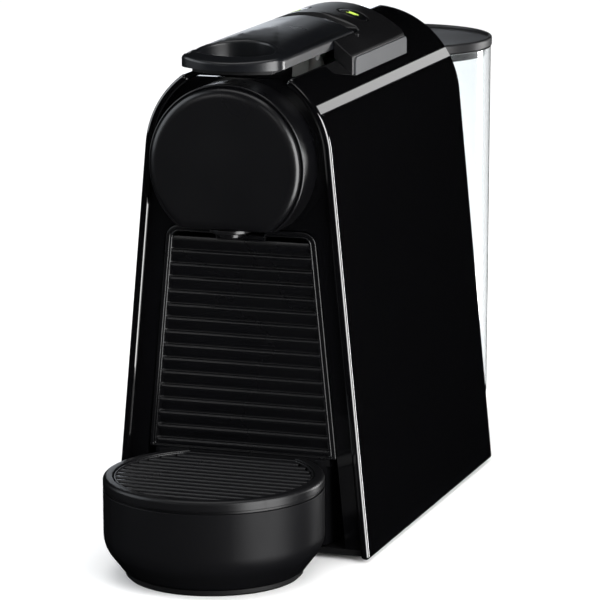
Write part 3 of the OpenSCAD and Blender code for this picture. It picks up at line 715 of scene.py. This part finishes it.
def brew_cap():
    """Domed front cap with a soft edge and a step at its back that shows as a groove."""
    radius = CAP_HIGH.x
    front = CAP_LOW.y
    dome = 0.45
    edge_w, edge_d = 3.9, 2.4
    groove = 1.5
    groove_y = front + 2.9
    face = drum_ring(radius, edge_w, front + dome)
    rings = [shrunk(face, share, front + dome * share**2) for share in (0.02, 0.2, 0.4, 0.6, 0.8, 0.92)]
    edge = fillet_steps(edge_w, edge_d, 8)
    rings += [drum_ring(radius, pull, front + dome + depth) for pull, depth in edge]
    rings.append(drum_ring(radius, 0, groove_y))
    rings.append(drum_ring(radius, groove, groove_y))
    rings.append(drum_ring(radius, groove, CAP_HIGH.y))
    shape = Shape()
    shape.loft(rings)
    piece("brew_cap_dome", shape, "machine", "satin_black", ["brew_head_cap"], sharp=50)


def brew_cover():
    """Open drum behind the cap, with a small lip."""
    radius = COVER_HIGH.x
    wall = 2.2
    lip = 0.7
    rings = [drum_ring(radius, wall, COVER_LOW.y + lip)]
    rings += [drum_ring(radius, pull, COVER_LOW.y + depth) for pull, depth in fillet_steps(lip, lip, 4)]
    rings.append(drum_ring(radius, 0, COVER_HIGH.y))
    rings.append(drum_ring(radius, wall, COVER_HIGH.y))
    shape = Shape()
    shape.loft(rings, closed=True)
    piece("brew_cover_drum", shape, "machine", "satin_black", ["brew_head_cover"], sharp=50)


def coffee_outlet():
    """Short spout with a flange against the brew head's flat underside."""
    low, high = cad("coffee_outlet")
    middle = ((low.x + high.x) / 2, (low.y + high.y) / 2)
    flange_r = (high.x - low.x) / 2
    flange_z = DRUM_FLAT - 1.6
    spout_r = 4.4
    neck_r = 3.4
    bore_r = 2.4
    corners = [(bore_r, low.z, 0.3), (spout_r, low.z, 0.7), (spout_r, flange_z, 0.4)]
    corners += [(flange_r, flange_z, 0.5), (flange_r, DRUM_FLAT, 0.1), (neck_r, DRUM_FLAT, 0.1)]
    corners += [(neck_r, high.z, 0.1), (bore_r, high.z, 0.1)]
    shape = Shape()
    shape.lathe(rounded(corners, steps=4), middle, closed=True, steps=64)
    piece("outlet_nozzle", shape, "machine", "gloss_black_trim", ["coffee_outlet"], sharp=50)


# ---------- capsule container ----------


def container_half(z):
    """Half width of the ribbed face at a height."""
    return half_w(z) - CONTAINER_GAP


def container_outline(pull):
    """(x, z) outline of the ribbed face: tapered sides, round top corners, a dip under the outlet."""
    top = BIN_HIGH.z - pull
    low = BIN_LOW.z + max(pull, 0) * 0.5
    dip = top - 2.4
    dip_half = 10
    half_top = container_half(BIN_HIGH.z) - pull
    half_low = container_half(BIN_LOW.z) - pull
    corner = max(0.8, 5.5 - pull)
    corners = [(-half_low, low, 0.6), (half_low, low, 0.6), (half_top, top, corner)]
    corners += [(dip_half + 1, top, 0.9), (dip_half, dip, 0.9)]
    corners += [(-dip_half, dip, 0.9), (-dip_half - 1, top, 0.9)]
    corners.append((-half_top, top, corner))
    return rounded(corners, steps=6)


def container_border():
    """Double border round the ribbed face."""
    steps = [(0, 3.0), (0, 0.5), (0.15, 0.15), (0.5, 0), (1.3, 0), (1.55, 0.12), (1.75, 0.45), (1.95, 0.12)]
    steps += [(2.2, 0), (2.5, 0.15), (2.6, 0.6), (2.6, 3.0)]
    rings = [[(x, BIN_LOW.y + depth, z) for x, z in container_outline(pull)] for pull, depth in steps]
    shape = Shape()
    shape.loft(rings, closed=True)
    piece("container_border", shape, "drip_unit", "ribbed_black", ["capsule_container"], sharp=60)


def rib_profile():
    """(y, z) line down the ribbed face: each rib has a round upper edge and a slope under it."""
    line = [(0.4, BIN_HIGH.z - 4.6)]
    for i in range(RIB_COUNT):
        z = RIB_TOP - i * RIB_PITCH
        line += [(0.0, z + 0.8), (0.25, z + 0.3), (1.6, z - 2.5), (1.8, z - 2.9), (1.7, z - 3.15)]
        line += [(0.55, z - 3.35), (0.25, z - 3.5), (0.05, z - 3.8), (0.0, z - 4.2)]
    line.append((0.0, BIN_LOW.z + 1.2))
    return line


def container_ribs():
    """Plate of ribs inside the border; the ribs fade out at their ends."""
    ends = 2.3
    face_y = BIN_LOW.y + 0.25
    back_y = BIN_LOW.y + 2.9
    across = [(-1, 0), (-0.985, 0), (-0.96, 1), (0.96, 1), (0.985, 0), (1, 0)]
    rings = []
    for y, z in rib_profile():
        half = container_half(z) - ends
        rings.append([(half * share, face_y + y * depth, z) for share, depth in across])
    back = [[(x, back_y, z) for x, _, z in ring] for ring in rings]
    shape = Shape()
    for i in range(len(rings) - 1):
        for k in range(len(across) - 1):
            face = [rings[i][k], rings[i][k + 1], rings[i + 1][k + 1], rings[i + 1][k]]
            rear = [back[i][k], back[i + 1][k], back[i + 1][k + 1], back[i][k + 1]]
            shape.add(face, [(0, 1, 2, 3)])
            shape.add(rear, [(0, 1, 2, 3)])
        for k in (0, -1):
            side = [rings[i][k], rings[i + 1][k], back[i + 1][k], back[i][k]]
            shape.add(side, [(0, 1, 2, 3)])
    for i in (0, -1):
        for k in range(len(across) - 1):
            shape.add([rings[i][k], back[i][k], back[i][k + 1], rings[i][k + 1]], [(0, 1, 2, 3)])
    piece("container_ribs", shape, "drip_unit", "ribbed_black", sharp=55)


def container_bin():
    """Open bin for used capsules behind the ribbed face."""
    half = 36
    side_gap = 10
    wall = 2.0
    front = FASCIA_Y + 2.9
    low = BIN_LOW.z
    rim = low + 86
    lip = 0.4

    def ring(pull, z):
        limit = min(half, half_w(z) - side_gap) - pull
        corners = [(-limit, front + pull, 2), (limit, front + pull, 2)]
        corners += [(limit, BIN_HIGH.y - pull, 2), (-limit, BIN_HIGH.y - pull, 2)]
        return [(x, y, z) for x, y in rounded(corners, steps=4)]

    rings = [ring(0, z) for z in (low, low + 20, low + 50, rim)]
    rings += [ring(lip, rim + 0.3), ring(wall - lip, rim + 0.3)]
    rings += [ring(wall, z) for z in (rim, low + 50, low + wall)]
    shape = Shape()
    shape.loft(rings)
    piece("container_bin", shape, "drip_unit", "ribbed_black", sharp=50)


# ---------- drip base ----------


def bowl_profile(radius, low, high):
    """(r, z) of a bowl's surface from its middle to its rim."""
    round_r = 13
    foot_r = 36
    corners = [(0, low, 0), (foot_r, low, 3), (radius, low + round_r * 0.8, round_r), (radius, high, 0)]
    return rounded(corners, steps=8, closed=False)


def drip_bowl():
    """Round water bowl, open at the top."""
    rim = RING_LOW.z
    floor = cad("base_foot")[1].z
    outside = bowl_profile(BASE_R, floor, rim)
    within = bowl_profile(BASE_R - 3, floor + 3.6, rim)
    shape = Shape()
    shape.lathe(outside + within[::-1], (0, BASE_Y))
    piece("drip_bowl", shape, "drip_unit", "satin_base", ["drip_tray"], bevel=0.3, segments=2)


def drip_back():
    """Block behind the bowl that carries the container, hollowed to follow the bowl."""
    half = TRAY_HIGH.x
    bottom = 5.2
    round_r = 0.5
    gap_r = BASE_R + 0.7

    def ring(pull, z):
        limit = half - pull
        front = FASCIA_Y + pull
        reach = math.sqrt(max(1, gap_r**2 - limit**2))
        start = max(front, BASE_Y + reach)
        turn = math.degrees(math.atan2(start - BASE_Y, limit))
        bow = [(x, max(y, front)) for x, y in arc((0, BASE_Y), gap_r, 180 - turn, turn, 24)]
        back = [(limit, TRAY_HIGH.y - pull), (-limit, TRAY_HIGH.y - pull)]
        return [(x, y, z) for x, y in back + bow]

    shape = Shape()
    rings = [ring(round_r, bottom), ring(0, bottom + round_r)]
    rings += [ring(0, TRAY_HIGH.z - 0.6), ring(0.6, TRAY_HIGH.z)]
    shape.loft(rings)
    piece("drip_back_part", shape, "drip_unit", "satin_base", sharp=50)


def rim_ring():
    """Ring on the bowl's rim, over a thin shadow gap."""
    low, high = RING_LOW.z, RING_HIGH.z
    gap_top = low + 1
    gap_r = BASE_R - 0.8
    inner_r = BASE_R - 4
    tongue_r = BASE_R - 3.2
    corners = [(tongue_r, low, 0.1), (gap_r, low, 0.1), (gap_r, gap_top, 0.1), (BASE_R, gap_top, 0.3)]
    corners += [(BASE_R, high, 1.6), (inner_r, high, 0.5), (inner_r, gap_top, 0.2), (tongue_r, gap_top, 0.1)]
    shape = Shape()
    shape.lathe(rounded(corners, steps=5), (0, BASE_Y), closed=True, steps=160)
    piece("drip_rim_ring", shape, "drip_unit", "satin_ring", ["base_ring"], sharp=50)


def base_foot():
    """Thin disc under the bowl, with a chamfered lower edge."""
    low, high = cad("base_foot")
    radius = high.x
    chamfer = 0.8
    profile = [(0, low.z), (radius - chamfer, low.z), (radius, low.z + chamfer)]
    profile += [(radius, high.z), (0, high.z)]
    shape = Shape()
    shape.lathe(profile, (0, BASE_Y))
    piece("base_foot_disc", shape, "drip_unit", "matte_black", ["base_foot"])


def grid_outline(radius, back):
    """Circle with a straight back edge, counter-clockwise, in (x, y)."""
    turn = math.degrees(math.asin(min(1, (back - BASE_Y) / radius)))
    return arc((0, BASE_Y), radius, 180 - turn, 360 + turn, 96)


def drip_grid():
    """Slatted grid: a rounded rim with a straight back, crosswise slats and a spine under them."""
    low, high = cad("drip_grid")
    radius = (high.x - low.x) / 2
    rows = 31  # slats and gaps by turns
    half_slat = radius / rows
    rim_w = 0.9
    shape = Shape()
    corners = [(rim_w, low.z, 0.1), (0, low.z, 0.1), (0, high.z, 0.3), (rim_w, high.z, 0.3)]
    section = rounded(corners, steps=4)
    rim = [[(x, y, z) for x, y in grid_outline(radius - pull, high.y - pull)] for pull, z in section]
    shape.loft(rim, closed=True)
    for i in range(0, rows, 2):
        y = BASE_Y - radius + (2 * i + 1) * half_slat
        front = y - half_slat
        back = y + half_slat
        offset = max(abs(front - BASE_Y), abs(back - BASE_Y))
        reach = math.sqrt(max(0, (radius - 0.5) ** 2 - offset**2))
        if reach < 3 or back > high.y - 1:
            continue
        bottom = low.z + 0.2
        top = high.z - 0.3
        corners = [(front, bottom, 0.1), (back, bottom, 0.1), (back, top, 0.7), (front, top, 0.7)]
        bar = rounded(corners, steps=3)
        shape.loft([[(s * reach, a, z) for a, z in bar] for s in (-1, 1)])
    bottom = low.z + 0.1
    top = high.z - 1.3
    spine = rounded([(-1, bottom, 0.1), (1, bottom, 0.1), (1, top, 0.2), (-1, top, 0.2)])
    shape.loft([[(x, y, z) for x, z in spine] for y in (low.y + 1, high.y - 1)])
    piece("grid_slats", shape, "grid", "grid_black", ["drip_grid"], sharp=50)


# ---------- tank ----------


def water_tank():
    """Clear tapered tank with a thick round floor edge and a hole for its valve."""
    low, high = TANK_LOW.z, TANK_HIGH.z
    floor = low + 2.5
    foot_r = TANK_R - 1.1
    hole_r = 5
    corners = [(hole_r, low, 0.2), (foot_r, low, 2.2), (TANK_R, high, 0.3), (TANK_R - TANK_WALL, high, 0.3)]
    corners += [(foot_r - TANK_WALL, floor, 2.0), (hole_r, floor, 0.2)]
    shape = Shape()
    shape.lathe(rounded(corners, steps=5), (0, TANK_Y), closed=True, steps=160)
    piece("tank_body", shape, "tank", "tank_clear", ["water_tank"], sharp=50)


def tank_lid():
    """Lid with a shallow recess on top and a skirt inside the tank's mouth."""
    low, high = LID_LOW.z, LID_HIGH.z
    recess = high - 1
    plate = high - 4.2
    skirt_r = TANK_R - TANK_WALL - 0.5
    skirt_in = skirt_r - 1.5
    corners = [(0, recess, 0), (TANK_R - 1.2, recess, 0.4), (TANK_R - 0.9, high, 0.4), (LID_R, high, 0.9)]
    corners += [(LID_R, plate, 0.6), (skirt_r, plate, 0.2), (skirt_r, low, 0.4), (skirt_in, low, 0.4)]
    corners += [(skirt_in, plate, 0.3), (0, plate, 0)]
    shape = Shape()
    shape.lathe(rounded(corners, steps=5, closed=False), (0, TANK_Y), steps=160)
    piece("tank_lid_cap", shape, "lid", "lid_black", ["tank_lid"], sharp=50)


# ---------- studio ----------

AZIMUTH, ELEVATION, ROLL = 19.18, 11.84, -0.28
TARGET = Vector((26.2, -92.0, 106.4)) * MM
DISTANCE = 1.47187
LENS = 222.12
SENSOR = 36


def camera():
    """Camera at the photograph's viewing angle."""
    az, el, roll = (math.radians(a) for a in (AZIMUTH, ELEVATION, ROLL))
    back = Vector((math.sin(az) * math.cos(el), -math.cos(az) * math.cos(el), math.sin(el)))
    right = Vector((math.cos(az), math.sin(az), 0))
    up = back.cross(right)
    tilted_right = right * math.cos(roll) + up * math.sin(roll)
    tilted_up = back.cross(tilted_right)
    data = bpy.data.cameras.new("camera")
    data.lens = LENS
    data.sensor_width = SENSOR
    data.clip_start = 0.05
    eye = bpy.data.objects.new("camera", data)
    turn = Matrix((tilted_right, tilted_up, back)).transposed().to_4x4()
    eye.matrix_world = Matrix.Translation(TARGET + back * DISTANCE) @ turn
    bpy.context.collection.objects.link(eye)
    bpy.context.scene.camera = eye


def softbox(name, centre, aim, size, radiance, tint=(1, 1, 1)):
    """Rectangular light of a given brightness, aimed at a point; metres."""
    data = bpy.data.lights.new(name, "AREA")
    data.shape = "RECTANGLE"
    data.size, data.size_y = size
    data.energy = radiance * math.pi * size[0] * size[1]
    data.color = tint
    box = bpy.data.objects.new(name, data)
    box.location = centre
    box.rotation_euler = (Vector(aim) - Vector(centre)).to_track_quat("-Z", "Y").to_euler()
    box.visible_camera = False
    box.visible_transmission = False
    bpy.context.collection.objects.link(box)
    return box


def shoulder_strip():
    """Light whose mirror image is the even stripe along the shell's right shoulder."""
    cone = math.radians(21)
    turn = math.radians(54.5)
    distance = 6
    shoulder = Vector((0.03, 0, 0.185))
    radial = Vector((math.sin(turn), 0, math.cos(turn)))
    away = (radial * math.sin(cone) + Vector((0, math.cos(cone), 0))).normalized()
    box = softbox("shoulder_strip", shoulder + away * distance, shoulder, (0.84, 0.43), 1.3)
    across = (radial - away * radial.dot(away)).normalized()
    box.rotation_euler = Matrix((across, away.cross(across), away)).transposed().to_euler()


def toward(start, azimuth, elevation, distance):
    """Point seen from start, at an azimuth clockwise from straight behind and an elevation."""
    az, el = math.radians(azimuth), math.radians(elevation)
    step = Vector((math.sin(az) * math.cos(el), math.cos(az) * math.cos(el), math.sin(el)))
    return Vector(start) + step * distance


def soft_lights():
    """Lights that draw the highlights seen in the photograph."""
    middle = (0, 0, 0.12)
    top = (0, 0, 0.2)
    lever_top = (0, 0, 0.19)
    cold = (0.9, 0.95, 1)
    colder = (0.88, 0.93, 1)
    shoulder_strip()
    softbox("right_tall", (0.55, -0.3, 0.1), (0, -0.1, 0.1), (0.5, 0.7), 9)
    softbox("left_big", (-0.95, -0.35, 0.55), middle, (0.8, 0.9), 2.4, cold)
    softbox("behind_left", toward(top, -21, 2, 3), top, (0.7, 0.8), 2.2, colder)
    softbox("front_left", (-0.62, -1.5, 0.55), middle, (0.3, 0.35), 2.4)
    softbox("front_right", (0.35, -1.75, 0.85), middle, (0.35, 0.3), 2.4)
    softbox("overhead", (0, -0.1, 1.6), middle, (1.4, 1.4), 1.6)
    softbox("right_rear", toward(lever_top, 38, -8, 1.6), lever_top, (0.36, 0.6), 18)


def white_world():
    """White surroundings that aren't mirrored in the glossy parts."""
    world = bpy.data.worlds.new("studio")
    world.use_nodes = True
    backdrop = world.node_tree.nodes["Background"]
    backdrop.inputs["Color"].default_value = (1, 1, 1, 1)
    backdrop.inputs["Strength"].default_value = 1.0
    world.cycles_visibility.glossy = False
    bpy.context.scene.world = world
    bpy.context.scene.view_settings.view_transform = "Standard"


def paper_floor():
    """Pale paper floor, left out of the parts' reflections."""
    reach = 4
    corners = [(-reach, -reach, 0), (reach, -reach, 0), (reach, reach, 0), (-reach, reach, 0)]
    mesh = bpy.data.meshes.new("floor")
    mesh.from_pydata(corners, [], [(0, 1, 2, 3)])
    floor = bpy.data.objects.new("floor", mesh)
    bpy.context.collection.objects.link(floor)
    floor.visible_glossy = False
    tree = Tree("floor_paper")
    shade = tree.ramp(tree.noise(6, 3), 0.3, 0.7, 0, 1)
    paper = tree.blend(shade, (0.93, 0.93, 0.93), (0.96, 0.96, 0.96))
    tree.links.new(paper, tree.shader.inputs["Base Color"])
    tree.links.new(tree.ramp(tree.noise(40, 3), 0.3, 0.7, 0.8, 0.95), tree.shader.inputs["Roughness"])
    tree.bump(tree.noise(800, 3), 0.05, 0.0002)
    mesh.materials.append(tree.material)


def dress_frame():
    """Gives every CAD node its slot's material."""
    for part in frame["record"]["subparts"]:
        node = frame["nodes"][part["node"]]
        material = finish(part["material_slot"])
        slots = node.data.materials
        if not len(slots):
            slots.append(material)
        for i in range(len(slots)):
            slots[i] = material


camera()
dress_frame()
outer_shell()
top_panel()
cheeks()
lever()
buttons()
brew_cap()
brew_cover()
coffee_outlet()
container_border()
container_ribs()
container_bin()
drip_bowl()
drip_back()
rim_ring()
base_foot()
drip_grid()
water_tank()
tank_lid()
white_world()
soft_lights()
paper_floor()
